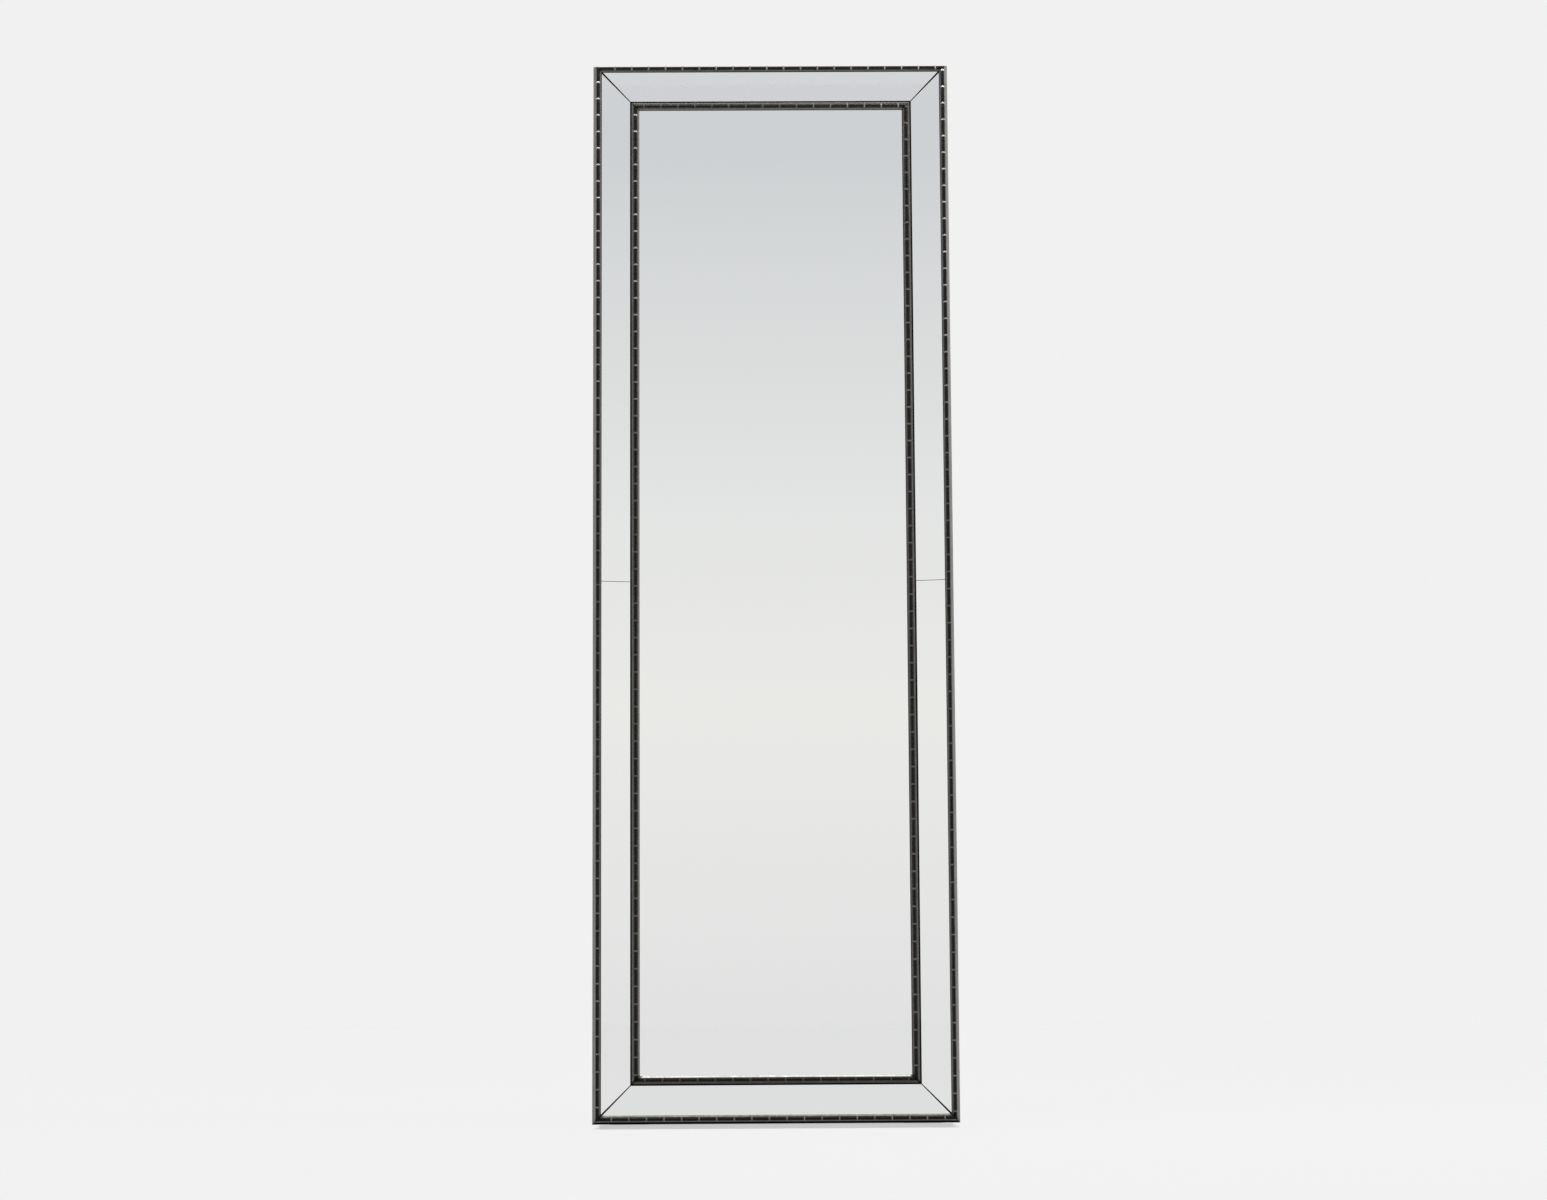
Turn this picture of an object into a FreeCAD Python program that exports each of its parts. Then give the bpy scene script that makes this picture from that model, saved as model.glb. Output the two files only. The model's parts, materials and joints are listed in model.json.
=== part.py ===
import FreeCAD, Part

import math
import os

Vector = FreeCAD.Vector

# A tall dressing mirror, front towards -Y and upright, its origin on the floor in the middle of its box.
# The overall size takes in the foot pads below and the wall pads behind.
overall_width = 559.0
overall_height = 1651.0

# Layers, from the silvered centre glass back to the wall
centre_glass_thickness = 4.0
tape_thickness = 1.0
board_thickness = 6.0
timber_thickness = 15.0
wall_pad_thickness = 6.0

# Border: plan distance from the outer rod to the inner rod, and how much its canted glass rises outwards
border_width = 58.3
border_rise = 10.7
border_glass_thickness = 3.0
border_low_height = 0.3
glass_arris = 0.5
seam_above_middle = 4.0
seam_gap = 0.8
mitre_gap_inner = 1.4
mitre_gap_outer = 2.8
outer_glass_gap = 0.9
inner_glass_gap = 1.9

# Ringed rod mouldings: the outer one falls away outside its rod, the inner one has a lip on both sides
channel_half_width = 3.4
ring_side_clearance = 0.1
ring_rise = 0.6
ring_width = 3.0
rod_lift = 0.8
shoulder_clearance = 0.1
lip_height = 0.7
lip_width = 2.5
inner_lip_width = 2.6
lip_fall = 2.2
lip_edge = 0.6
lip_clearance = 0.2
lip_bulge = 0.5
flank_width = 5.5
flank_fall = 19.0
flank_bulge = 0.2
inner_flank_width = 2.8
inner_flank_fall = 2.0
inner_channel_height = 2.7
border_rebate_width = 2.0
glass_rebate_width = 3.2
leg_thickness = 2.3

# Ring spacing, and the first ring of each length as a share of it, clockwise from the crossing rod
outer_ring_pitch = 26.55
inner_ring_pitch = 26.7
outer_first_ring_shares = {"top": 0.0, "right": 0.18, "bottom": 0.61, "left": 0.69}
inner_first_ring_shares = {"top": 0.51, "right": 0.08, "bottom": 0.43, "left": 0.29}

# Timber subframe behind the board
timber_setback = 1.0
stile_width = 40.0
rail_width = 40.0
cross_rail_width = 50.0
cross_rail_height_shares = {"lower": 0.33, "upper": 0.67}
dowel_radius = 3.0
dowel_length = 30.0
dowel_fit = 0.1
dowel_end_space = 1.0
dowel_spread_share = 0.25

# Back panel, let into the timber
panel_thickness = 3.0
panel_lap = 12.0
panel_fit = 0.5
board_fit = 0.2
bed_fit = 0.2
glass_fit = 0.5

# Self-adhesive tape under the glass
border_tape_width = 12.0
border_tape_end_space = 8.0
centre_tape_width = 25.0
centre_tape_end_space = 60.0
centre_tape_place_shares = (-0.32, 0.0, 0.32)

# Wood screws
screw_fit = 0.1
screw_tip = 2.5
cross_slot_width = 0.8
cross_slot_length_share = 0.62
cross_slot_depth_share = 0.6
board_screw_radius = 1.9
board_screw_head_radius = 3.8
board_screw_length = 16.0
board_screw_inset = 6.8
panel_screw_radius = 1.4
panel_screw_head_radius = 3.0
panel_screw_head_height = 1.5
panel_screw_length = 9.0
hanger_screw_radius = 1.8
hanger_screw_head_radius = 3.5
hanger_screw_head_height = 1.7
hanger_screw_length = 12.0
stile_screw_height_shares = (0.05, 0.24, 0.5, 0.74, 0.95)
rail_screw_place_shares = (-0.24, 0.24)
panel_side_screw_height_shares = (0.1, 0.21, 0.5, 0.79, 0.9)
panel_end_screw_place_shares = (-0.34, 0.0, 0.34)
cross_rail_panel_screw_shares = (-0.36, 0.36)

# Hangers: a strap screwed to each stile, with a loose ring in its rolled knuckle
hanger_height_share = 0.83
strap_width = 14.0
strap_thickness = 1.0
strap_length = 46.0
strap_hole_spacing = 14.0
knuckle_wall = 1.0
knuckle_lift = 2.8
wire_radius = 1.4
wire_running_clearance = 0.06
ring_half_span = 12.0
ring_corner_radius = 3.0
ring_leg_length = 1.5

# Rubber pads
wall_pad_radius = 9.0
wall_pad_face_radius = 7.5
wall_pad_end_distance = 60.0
foot_thickness = 1.5
foot_length = 60.0
foot_depth = 11.0
foot_side_distance = 24.0

# Room for a cut to pass right through what it cuts
overrun = 5.0

# The rod lies in its channel with room beside its rings
ring_radius = channel_half_width - ring_side_clearance
rod_radius = ring_radius - ring_rise

# Plan distances from the axis of each rod to the edges of its moulding
shoulder = rod_radius + shoulder_clearance
moulding_edge = shoulder + flank_width
moulding_sight = channel_half_width + lip_width
moulding_wall = moulding_sight - border_rebate_width
inner_moulding_edge = channel_half_width + inner_flank_width
inner_moulding_sight = channel_half_width + inner_lip_width

# Levels, all measured from the front of the centre glass: forward heights are positive
lip_underside = border_low_height + border_rise + lip_clearance
outer_channel_height = lip_underside + lip_edge + lip_fall - lip_height
board_front = -(centre_glass_thickness + tape_thickness)
board_back = board_front - board_thickness
timber_back = board_back - timber_thickness
panel_front = timber_back + panel_thickness
wall_face = timber_back - wall_pad_thickness
front_reach = outer_channel_height + rod_lift + ring_radius
glass_y = (front_reach + wall_face) / 2.0

# Rod rectangles and the levels that follow from them
foot_reveal = foot_thickness - timber_setback
middle_z = (overall_height + foot_reveal) / 2.0
outer_rod_x = overall_width / 2.0 - moulding_edge
outer_rod_z = (overall_height - foot_reveal) / 2.0 - moulding_edge
inner_rod_x = outer_rod_x - border_width
inner_rod_z = outer_rod_z - border_width
timber_x = overall_width / 2.0 - timber_setback
timber_z = (overall_height - foot_reveal) / 2.0 - timber_setback
opening_x = timber_x - stile_width
opening_z = timber_z - rail_width

quarter_turns = {"top": 0, "right": 1, "bottom": 2, "left": 3}


def y_of(height):
    return glass_y - height


def block(x_low, x_high, height_back, height_front, z_low, z_high):
    corner = Vector(x_low, y_of(height_front), z_low)
    return Part.makeBox(x_high - x_low, height_front - height_back, z_high - z_low, corner)


def union(shapes):
    first = shapes[0]
    if len(shapes) == 1:
        return first
    return first.multiFuse(shapes[1:]).removeSplitter()


def drilled(shape, cutters):
    return shape.cut(Part.makeCompound(cutters)) if cutters else shape


def turned(outline):
    """A closed outline of (radius, y) points turned once round the Y axis."""
    points = [Vector(radius, y, 0) for radius, y in outline]
    face = Part.Face(Part.makePolygon(points + points[:1]))
    return face.revolve(Vector(0, 0, 0), Vector(0, 1, 0), 360)


def section_face(points, bulges):
    """Face from (outward, forward) points; a side listed in bulges is an arc that swells by that much."""
    corners = [Vector(0, -forward, outward) for outward, forward in points]
    edges = []
    for index, start in enumerate(corners):
        end = corners[(index + 1) % len(corners)]
        if index in bulges:
            along = (end - start).normalize()
            middle = (start + end) / 2.0 + Vector(1, 0, 0).cross(along) * bulges[index]
            edges.append(Part.Arc(start, middle, end).toShape())
        else:
            edges.append(Part.makeLine(start, end))
    return Part.Face(Part.Wire(edges))


def long_bar(face, length, reach):
    bar = face.extrude(Vector(length + 2.0 * reach, 0, 0))
    bar.translate(Vector(-reach, 0, 0))
    return bar


def mitred(bar, length, low, high, gap_low, gap_high):
    """Cuts both ends on the diagonals of the corners, leaving half of a joint that may widen outwards."""

    def start_at(outward):
        share = (outward - low) / (high - low)
        return -outward + (gap_low + (gap_high - gap_low) * share) / math.sqrt(2.0)

    reach = front_reach - wall_face
    inside = low - overrun
    outside = high + overrun
    plan = [(start_at(inside), inside), (length - start_at(inside), inside),
            (length - start_at(outside), outside), (start_at(outside), outside)]
    points = [Vector(along, -reach, outward) for along, outward in plan]
    keep = Part.Face(Part.makePolygon(points + points[:1])).extrude(Vector(0, 2.0 * reach, 0))
    return bar.common(keep)


def placed(shape, side, half_x, half_z):
    """Puts a bar made along X, outwards to +Z, on its side of a rectangle, clockwise from the front."""
    starts = {"top": (-half_x, half_z), "right": (half_x, half_z),
              "bottom": (half_x, -half_z), "left": (-half_x, -half_z)}
    start_x, start_z = starts[side]
    shape.rotate(Vector(0, 0, 0), Vector(0, 1, 0), 90 * quarter_turns[side])
    shape.translate(Vector(start_x, glass_y, middle_z + start_z))
    return shape


def side_length(side, half_x, half_z):
    return 2.0 * (half_x if side in ("top", "bottom") else half_z)


def ringed_rod(length, reach, pitch, first_share, height):
    """A round rod along X with a raised ring at every pitch, as one turned solid."""
    outline = []
    place = pitch * first_share
    end = length + reach - ring_width
    half_ring = ring_width / 2.0
    outline.append(Part.makeLine(Vector(-reach, 0, 0), Vector(-reach, 0, rod_radius)))
    last = Vector(-reach, 0, rod_radius)
    while place < end:
        if place - half_ring > -reach:
            foot = Vector(place - half_ring, 0, rod_radius)
            crown = Vector(place, 0, ring_radius)
            heel = Vector(place + half_ring, 0, rod_radius)
            outline.append(Part.makeLine(last, foot))
            outline.append(Part.Arc(foot, crown, heel).toShape())
            last = heel
        place += pitch
    finish = Vector(length + reach, 0, rod_radius)
    outline.append(Part.makeLine(last, finish))
    outline.append(Part.makeLine(finish, Vector(length + reach, 0, 0)))
    outline.append(Part.makeLine(Vector(length + reach, 0, 0), Vector(-reach, 0, 0)))
    rod = Part.Face(Part.Wire(outline)).revolve(Vector(0, 0, 0), Vector(1, 0, 0), 360)
    rod.translate(Vector(0, -height, 0))
    return rod


def outer_section():
    crest = outer_channel_height + lip_height
    points = [(-moulding_wall, board_front), (-moulding_wall, lip_underside),
              (-moulding_sight, lip_underside), (-moulding_sight, crest - lip_fall),
              (-channel_half_width, crest), (-channel_half_width, outer_channel_height),
              (shoulder, outer_channel_height), (moulding_edge, outer_channel_height - flank_fall),
              (moulding_edge, board_back), (moulding_edge - leg_thickness, board_back),
              (moulding_edge - leg_thickness, board_front)]
    return section_face(points, {3: lip_bulge, 6: flank_bulge})


def inner_section():
    crest = inner_channel_height + lip_height
    rebate = glass_rebate_width - inner_moulding_sight
    points = [(-inner_moulding_sight, 0), (-inner_moulding_sight, crest - lip_fall),
              (-channel_half_width, crest), (-channel_half_width, inner_channel_height),
              (channel_half_width, inner_channel_height), (channel_half_width, crest),
              (inner_moulding_edge, crest - inner_flank_fall), (inner_moulding_edge, board_front),
              (rebate, board_front), (rebate, 0)]
    return section_face(points, {1: lip_bulge})


def moulding(side, section, sight, edge, half_x, half_z, channel_height, pitch, first_share):
    length = side_length(side, half_x, half_z)
    reach = edge + overrun
    base = long_bar(section, length, reach)
    rod = ringed_rod(length, reach, pitch, first_share, channel_height + rod_lift)
    bar = mitred(base.fuse(rod), length, -sight, edge, 0, 0)
    return placed(bar, side, half_x, half_z)


# Border section: the canted glass line between its outer and its inner edge, from the outer rod
border_outer = -(moulding_wall + outer_glass_gap)
border_inner = -(border_width - inner_moulding_edge - inner_glass_gap)
cant = math.atan2(border_rise, border_outer - border_inner)


def canted_point(outward, below):
    """A point of the border section, so far below the front of its glass, square to it."""
    top = border_low_height + (outward - border_inner) * math.tan(cant)
    return outward + below * math.sin(cant), top - below * math.cos(cant)


def canted_section(outer, inner, top, bottom, arris):
    step = arris * math.cos(cant)
    corners = [canted_point(outer, bottom), canted_point(inner, bottom), canted_point(inner, top + arris),
               canted_point(inner + step, top), canted_point(outer - step, top),
               canted_point(outer, top + arris)]
    return section_face(corners, {})


def flat_section(outer, inner, top, bottom):
    return section_face([canted_point(outer, bottom), canted_point(inner, bottom),
                         canted_point(inner, top), canted_point(outer, top)], {})


def border_bar(side, section, gap_inner, gap_outer):
    length = side_length(side, outer_rod_x, outer_rod_z)
    bar = long_bar(section, length, overrun)
    bar = mitred(bar, length, border_inner, border_outer, gap_inner, gap_outer)
    return placed(bar, side, outer_rod_x, outer_rod_z)


def half_space(upper, gap):
    """The room above or below the seam in the side borders, leaving half of its gap."""
    seam_z = middle_z + seam_above_middle
    low = seam_z + gap / 2.0 if upper else -overrun
    high = overall_height + overrun if upper else seam_z - gap / 2.0
    return block(-overall_width, overall_width, wall_face, front_reach, low, high)


def border_glass(side, half=None):
    section = canted_section(border_outer, border_inner, 0, border_glass_thickness, glass_arris)
    glass = border_bar(side, section, mitre_gap_inner, mitre_gap_outer)
    return glass.common(half_space(half == "upper", seam_gap)) if half else glass


def border_bed(side):
    """Tapered and mitred batten that carries one side of the canted glass."""
    under = (border_glass_thickness + tape_thickness) / math.cos(cant)
    outer = -(moulding_wall + bed_fit)
    inner_top = border_low_height - under
    outer_top = inner_top + (outer - border_inner) * math.tan(cant)
    section = section_face([(outer, board_front), (border_inner, board_front),
                            (border_inner, inner_top), (outer, outer_top)], {})
    return border_bar(side, section, 0, 0)


def border_tapes():
    middle = (border_outer + border_inner) / 2.0
    half = border_tape_width * math.cos(cant) / 2.0
    below = border_glass_thickness
    pieces = []
    for side in quarter_turns:
        section = flat_section(middle + half, middle - half, below, below + tape_thickness)
        tape = border_bar(side, section, border_tape_end_space, border_tape_end_space)
        if side in ("left", "right"):
            pieces += [tape.common(half_space(upper, border_tape_end_space)) for upper in (True, False)]
        else:
            pieces.append(tape)
    return Part.makeCompound([solid for piece in pieces for solid in piece.Solids])


def centre_half_sizes():
    rebate = inner_moulding_sight - glass_rebate_width
    return inner_rod_x - rebate - glass_fit, inner_rod_z - rebate - glass_fit


def centre_glass():
    half_x, half_z = centre_half_sizes()
    return block(-half_x, half_x, -centre_glass_thickness, 0, middle_z - half_z, middle_z + half_z)


def centre_tapes():
    half_x, half_z = centre_half_sizes()
    pieces = []
    for share in centre_tape_place_shares:
        x = 2.0 * half_x * share
        end = half_z - centre_tape_end_space
        pieces.append(block(x - centre_tape_width / 2.0, x + centre_tape_width / 2.0, board_front,
                            -centre_glass_thickness, middle_z - end, middle_z + end))
    return Part.makeCompound(pieces)


def screw(radius, head_radius, head_height, length, countersunk, slot):
    """A wood screw along +Y, its seat at y = 0 and its point at y = length."""
    neck = head_radius - radius if countersunk else 0
    if countersunk:
        head = [(0, 0), (head_radius, 0), (radius, neck)]
    else:
        head = [(0, -head_height), (head_radius - head_height / 2.0, -head_height),
                (head_radius, -head_height / 2.0), (head_radius, 0), (radius, 0)]
    body = turned(head + [(radius, length - screw_tip), (0, length)])
    if not slot:
        return body
    half = head_radius * cross_slot_length_share
    depth = head_height * cross_slot_depth_share
    arms = []
    for x_half, z_half in ((half, cross_slot_width / 2.0), (cross_slot_width / 2.0, half)):
        corner = Vector(-x_half, -head_height - overrun, -z_half)
        arms.append(Part.makeBox(2.0 * x_half, depth + overrun, 2.0 * z_half, corner))
    return body.cut(union(arms))


def screw_hole(radius, length, countersunk_head):
    """The room that a screw takes, with its fit all round."""
    wide = radius + screw_fit
    if countersunk_head:
        mouth = countersunk_head + screw_fit
        outline = [(0, -overrun), (mouth, -overrun), (mouth, 0), (wide, mouth - wide)]
    else:
        outline = [(0, -overrun), (wide, -overrun)]
    return turned(outline + [(wide, length + screw_fit), (0, length + screw_fit)])


def set_at(shape, x, height, z, from_back):
    piece = shape.copy()
    if from_back:
        piece.rotate(Vector(0, 0, 0), Vector(0, 0, 1), 180)
    piece.translate(Vector(x, y_of(height), z))
    return piece


def cross_rail_z(name):
    return middle_z - opening_z + 2.0 * opening_z * cross_rail_height_shares[name]


def board_screw_places():
    """Under the border, a set distance in from the wall of the outer moulding, and along the cross rails."""
    inset = moulding_sight + board_screw_inset
    side_x = outer_rod_x - inset
    end_z = outer_rod_z - inset
    places = [(side * side_x, middle_z - timber_z + 2.0 * timber_z * share)
              for side in (-1, 1) for share in stile_screw_height_shares]
    rails = [middle_z - end_z, middle_z + end_z]
    rails += [cross_rail_z(name) for name in cross_rail_height_shares]
    places += [(2.0 * opening_x * share, z) for z in rails for share in rail_screw_place_shares]
    return places


def panel_screw_places():
    inset = panel_lap / 2.0
    side_x = opening_x + inset
    end_z = opening_z + inset
    places = [(side * side_x, middle_z - opening_z + 2.0 * opening_z * share)
              for side in (-1, 1) for share in panel_side_screw_height_shares]
    places += [(2.0 * opening_x * share, middle_z + side * end_z)
               for side in (-1, 1) for share in panel_end_screw_place_shares]
    places += [(2.0 * opening_x * share, cross_rail_z(name))
               for name in cross_rail_height_shares for share in cross_rail_panel_screw_shares]
    return places


# Knuckle centre of the hangers, and the screws below the loose ring
hanger_z = middle_z - timber_z + 2.0 * timber_z * hanger_height_share
hanger_x = timber_x - stile_width / 2.0
ring_drop = ring_corner_radius + ring_leg_length + ring_half_span
first_hanger_screw = ring_drop + wire_radius + hanger_screw_head_radius + wire_radius
hanger_screw_drops = (first_hanger_screw, first_hanger_screw + strap_hole_spacing)


def hanger_screw_places(side):
    return [(side * hanger_x, hanger_z - drop) for drop in hanger_screw_drops]


def carrier_board():
    half_x = overall_width / 2.0 - leg_thickness - board_fit
    half_z = (overall_height - foot_reveal) / 2.0 - leg_thickness - board_fit
    board = block(-half_x, half_x, board_back, board_front, middle_z - half_z, middle_z + half_z)
    hole = screw_hole(board_screw_radius, board_screw_length, board_screw_head_radius)
    return drilled(board, [set_at(hole, x, board_front, z, False) for x, z in board_screw_places()])


def board_screws():
    one = screw(board_screw_radius, board_screw_head_radius, 0, board_screw_length, True, False)
    return Part.makeCompound([set_at(one, x, board_front, z, False) for x, z in board_screw_places()])


def panel_half_sizes():
    return opening_x + panel_lap, opening_z + panel_lap


def panel_pocket():
    half_x, half_z = panel_half_sizes()
    half_x += panel_fit
    half_z += panel_fit
    return block(-half_x, half_x, timber_back - overrun, panel_front, middle_z - half_z, middle_z + half_z)


def timber_holes():
    board_hole = screw_hole(board_screw_radius, board_screw_length, board_screw_head_radius)
    panel_hole = screw_hole(panel_screw_radius, panel_screw_length, None)
    hanger_hole = screw_hole(hanger_screw_radius, hanger_screw_length, None)
    holes = [set_at(board_hole, x, board_front, z, False) for x, z in board_screw_places()]
    holes += [set_at(panel_hole, x, timber_back, z, True) for x, z in panel_screw_places()]
    holes += [set_at(hanger_hole, x, timber_back - strap_thickness, z, True)
              for side in (-1, 1) for x, z in hanger_screw_places(side)]
    return holes


def rail_levels():
    levels = {"bottom": (middle_z - timber_z, rail_width), "top": (middle_z + opening_z, rail_width)}
    for name in cross_rail_height_shares:
        levels[name] = (cross_rail_z(name) - cross_rail_width / 2.0, cross_rail_width)
    return levels


def dowel_places():
    places = []
    for low, width in rail_levels().values():
        for step in (-1, 1):
            places.append(low + width / 2.0 + step * width * dowel_spread_share)
    return places


def dowel_bars(radius, length):
    height = (board_back + panel_front) / 2.0
    return [Part.makeCylinder(radius, length, Vector(side * opening_x - length / 2.0, y_of(height), z),
                              Vector(1, 0, 0))
            for side in (-1, 1) for z in dowel_places()]


def frame_dowels():
    return Part.makeCompound(dowel_bars(dowel_radius, dowel_length))


def machined(member):
    """Timber with the back panel's pocket, its dowel holes and its screw holes."""
    dowel_holes = dowel_bars(dowel_radius + dowel_fit, dowel_length + 2.0 * dowel_end_space)
    near = [hole for hole in dowel_holes + timber_holes() if hole.BoundBox.intersect(member.BoundBox)]
    return drilled(member.cut(panel_pocket()), near)


def stile(side):
    inner, outer = sorted((side * opening_x, side * timber_x))
    return machined(block(inner, outer, timber_back, board_back, middle_z - timber_z, middle_z + timber_z))


def rail(name):
    low, width = rail_levels()[name]
    return machined(block(-opening_x, opening_x, timber_back, board_back, low, low + width))


def back_panel():
    half_x, half_z = panel_half_sizes()
    panel = block(-half_x, half_x, timber_back, panel_front, middle_z - half_z, middle_z + half_z)
    hole = screw_hole(panel_screw_radius, panel_screw_length, None)
    return drilled(panel, [set_at(hole, x, timber_back, z, True) for x, z in panel_screw_places()])


def back_panel_screws():
    one = screw(panel_screw_radius, panel_screw_head_radius, panel_screw_head_height,
                panel_screw_length, False, True)
    return Part.makeCompound([set_at(one, x, timber_back, z, True) for x, z in panel_screw_places()])


def hanger_strap(side):
    """Strap with a round lower end, two screw holes and a rolled knuckle for the ring's bar."""
    x = side * hanger_x
    half = strap_width / 2.0
    low = hanger_z - strap_length + half
    back = timber_back - strap_thickness
    knuckle_y = y_of(timber_back - knuckle_lift)
    bore = wire_radius + wire_running_clearance
    plate = block(x - half, x + half, back, timber_back, low, hanger_z)
    end = Part.makeCylinder(half, strap_thickness, Vector(x, y_of(timber_back), low), Vector(0, 1, 0))
    roll = Part.makeCylinder(bore + knuckle_wall, strap_width, Vector(x - half, knuckle_y, hanger_z),
                             Vector(1, 0, 0))
    strap = union([plate, end, roll])
    hole = screw_hole(hanger_screw_radius, hanger_screw_length, None)
    cuts = [set_at(hole, hole_x, back, z, True) for hole_x, z in hanger_screw_places(side)]
    cuts.append(Part.makeCylinder(bore, strap_width + 2.0 * overrun,
                                  Vector(x - half - overrun, knuckle_y, hanger_z), Vector(1, 0, 0)))
    return drilled(strap, cuts)


def hanger_screws(side):
    one = screw(hanger_screw_radius, hanger_screw_head_radius, hanger_screw_head_height,
                hanger_screw_length, False, True)
    back = timber_back - strap_thickness
    return Part.makeCompound([set_at(one, x, back, z, True) for x, z in hanger_screw_places(side)])


def bend(centre, start, turn):
    """Round wire bent about a centre in the ring's own plane, from a start point through an angle."""
    direction = Vector(0, 1, 0).cross(start - centre)
    face = Part.Face(Part.Wire(Part.makeCircle(wire_radius, start, direction)))
    return face.revolve(centre, Vector(0, 1, 0), turn)


def straight(start, end):
    return Part.makeCylinder(wire_radius, (end - start).Length, start, end - start)


def hanger_ring(side):
    """D-shaped ring, hanging down from the bar in its knuckle."""
    span = ring_half_span
    corner = ring_corner_radius
    leg_end = -(corner + ring_leg_length)
    inside = span - corner
    pieces = [straight(Vector(-inside, 0, 0), Vector(inside, 0, 0)),
              bend(Vector(inside, 0, -corner), Vector(inside, 0, 0), 90),
              bend(Vector(-inside, 0, -corner), Vector(-inside, 0, 0), -90),
              straight(Vector(span, 0, -corner), Vector(span, 0, leg_end)),
              straight(Vector(-span, 0, -corner), Vector(-span, 0, leg_end)),
              bend(Vector(0, 0, leg_end), Vector(span, 0, leg_end), 180)]
    ring = union(pieces)
    ring.translate(Vector(side * hanger_x, y_of(timber_back - knuckle_lift), hanger_z))
    return ring


def wall_pads():
    pad = turned([(0, 0), (wall_pad_radius, 0), (wall_pad_face_radius, wall_pad_thickness),
                  (0, wall_pad_thickness)])
    pads = []
    for side in (-1, 1):
        for end in (-1, 1):
            pads.append(pad.copy())
            pads[-1].translate(Vector(side * hanger_x, y_of(timber_back),
                                      middle_z + end * (timber_z - wall_pad_end_distance)))
    return Part.makeCompound(pads)


def foot_pads():
    middle = (board_back + timber_back) / 2.0
    pads = []
    for side in (-1, 1):
        inner, outer = sorted((side * (timber_x - foot_side_distance),
                               side * (timber_x - foot_side_distance - foot_length)))
        pads.append(block(inner, outer, middle - foot_depth / 2.0, middle + foot_depth / 2.0,
                          0, foot_thickness))
    return Part.makeCompound(pads)


def build():
    parts = {"centre_mirror_glass": centre_glass(), "centre_glass_tape": centre_tapes(),
             "border_glass_tape": border_tapes(), "carrier_board": carrier_board(),
             "carrier_board_screws": board_screws(), "back_panel": back_panel(),
             "back_panel_screws": back_panel_screws(), "frame_dowels": frame_dowels(),
             "frame_stile_left": stile(-1), "frame_stile_right": stile(1),
             "wall_pads": wall_pads(), "foot_pads": foot_pads()}
    for name in rail_levels():
        parts["frame_rail_" + name] = rail(name)
    for side in quarter_turns:
        parts["outer_moulding_" + side] = moulding(
            side, outer_section(), moulding_sight, moulding_edge, outer_rod_x, outer_rod_z,
            outer_channel_height, outer_ring_pitch, outer_first_ring_shares[side])
        parts["inner_moulding_" + side] = moulding(
            side, inner_section(), inner_moulding_sight, inner_moulding_edge, inner_rod_x, inner_rod_z,
            inner_channel_height, inner_ring_pitch, inner_first_ring_shares[side])
        parts["border_bed_" + side] = border_bed(side)
    for side in ("top", "bottom"):
        parts["border_glass_" + side] = border_glass(side)
    for side in ("left", "right"):
        for half in ("upper", "lower"):
            parts["border_glass_" + side + "_" + half] = border_glass(side, half)
    for name, side in (("left", -1), ("right", 1)):
        parts["hanger_strap_" + name] = hanger_strap(side)
        parts["hanger_screws_" + name] = hanger_screws(side)
        parts["hanger_ring_" + name] = hanger_ring(side)
    return parts


os.makedirs("parts", exist_ok=True)
for node, shape in build().items():
    shape.exportStep("parts/" + node + ".step")
    print(node, len(shape.Solids), round(shape.Volume), shape.isValid())
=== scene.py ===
import json
import math

import bpy
import numpy as np
from mathutils import Matrix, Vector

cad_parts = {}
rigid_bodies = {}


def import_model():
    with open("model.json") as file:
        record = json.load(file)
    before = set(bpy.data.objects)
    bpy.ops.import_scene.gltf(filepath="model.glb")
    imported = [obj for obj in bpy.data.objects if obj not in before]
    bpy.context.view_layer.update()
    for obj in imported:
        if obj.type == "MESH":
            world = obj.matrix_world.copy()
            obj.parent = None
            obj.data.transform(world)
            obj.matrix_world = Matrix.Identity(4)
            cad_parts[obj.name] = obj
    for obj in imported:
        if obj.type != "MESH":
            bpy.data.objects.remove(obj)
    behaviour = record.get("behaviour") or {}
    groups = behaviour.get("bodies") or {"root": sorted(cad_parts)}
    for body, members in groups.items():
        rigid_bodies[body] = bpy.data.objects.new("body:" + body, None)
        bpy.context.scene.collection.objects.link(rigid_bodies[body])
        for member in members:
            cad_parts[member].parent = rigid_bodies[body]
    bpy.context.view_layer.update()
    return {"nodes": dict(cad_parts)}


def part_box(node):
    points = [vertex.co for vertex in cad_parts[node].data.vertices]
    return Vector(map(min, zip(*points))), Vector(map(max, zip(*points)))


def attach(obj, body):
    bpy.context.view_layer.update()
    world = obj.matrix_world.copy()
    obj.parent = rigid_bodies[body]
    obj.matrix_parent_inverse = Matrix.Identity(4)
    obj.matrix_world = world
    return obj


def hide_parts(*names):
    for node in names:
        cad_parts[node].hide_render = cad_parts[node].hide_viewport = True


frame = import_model()

# Timber subframe: two full-height stiles with top, bottom and two cross rails dowelled between them. Planed
# softwood, brushed with a thin black water stain that lets the grain through and dries a little patchy.
STAINED_DARK = (0.011, 0.009, 0.008, 1.0)
STAINED_LIGHT = (0.046, 0.034, 0.025, 1.0)


def feed(tree, value, socket):
    """Links another node's output to a socket, or sets the socket to a plain value."""
    if isinstance(value, bpy.types.NodeSocket):
        tree.links.new(value, socket)
    else:
        socket.default_value = value


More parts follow.
